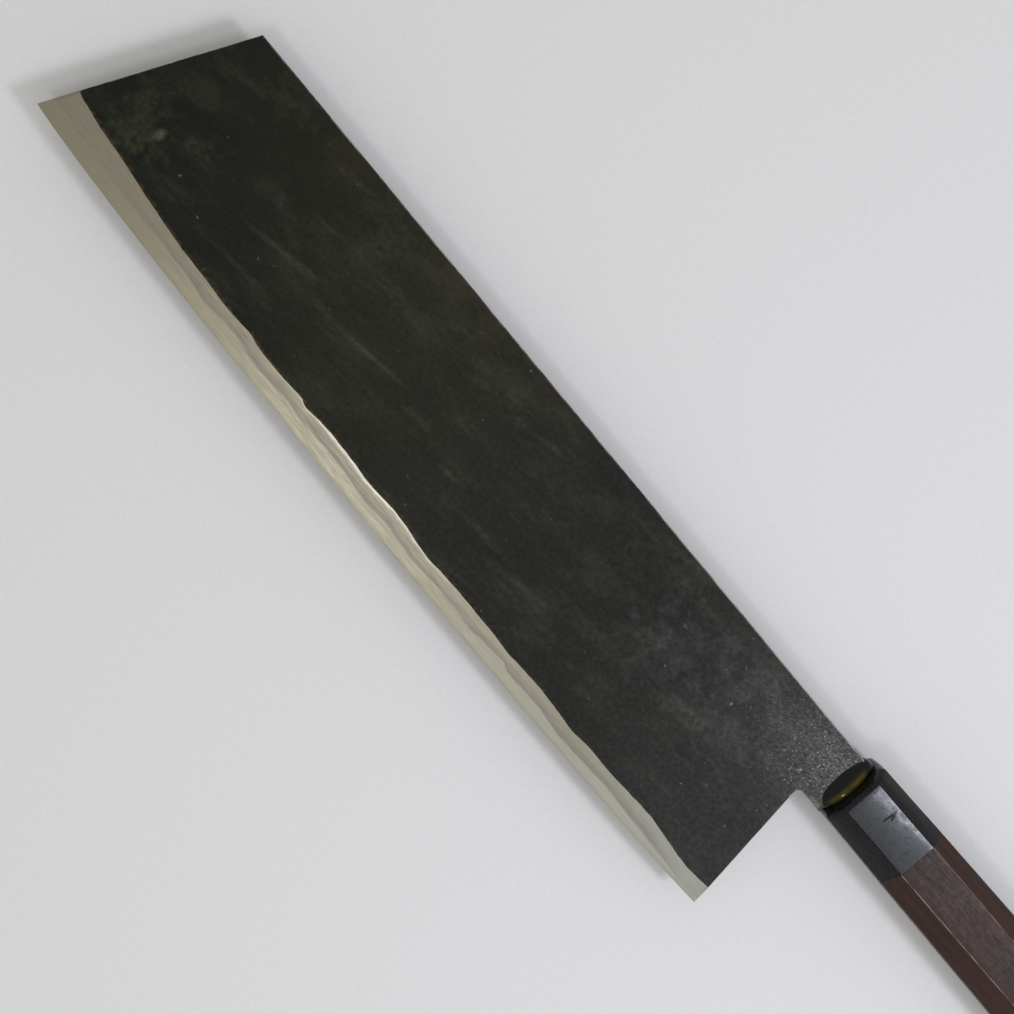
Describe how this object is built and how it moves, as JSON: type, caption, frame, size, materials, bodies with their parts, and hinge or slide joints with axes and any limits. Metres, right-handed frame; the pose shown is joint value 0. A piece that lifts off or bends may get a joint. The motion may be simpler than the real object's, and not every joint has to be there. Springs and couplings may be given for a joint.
{
  "type": "kiritsuke kitchen knife",
  "caption": "Long kitchen knife with a slanted tip: three-layer forged blade, stick tang, horn ferrule and eight-sided rosewood handle.",
  "frame": {"origin": "centre of the knife's bounding box in X and Y, on the surface that the handle's right side rests on", "axes": "+X from the tip to the butt, +Y from the cutting edge to the spine, +Z from the right face of the blade to the left one"},
  "size_m": [0.3902, 0.0632, 0.0208],
  "materials": {
    "core_steel": "ground along the edge to a satin bevel",
    "forged_steel": "black forge scale, ground bright on the bevel",
    "amber_resin": "clear dark amber resin, set glossy",
    "black_horn": "black horn, polished",
    "rosewood": "red-brown rosewood, sanded and oiled",
    "hardwood": "plain turned hardwood",
    "bedding_resin": "set resin"
  },
  "bodies": {
    "root": {"core_steel": "core_steel", "cladding_left": "forged_steel", "cladding_right": "forged_steel", "mouth_seal": "amber_resin", "ferrule": "black_horn", "grip": "rosewood", "dowel": "hardwood", "tang_bedding": "bedding_resin"}
  },
  "joints": []
}
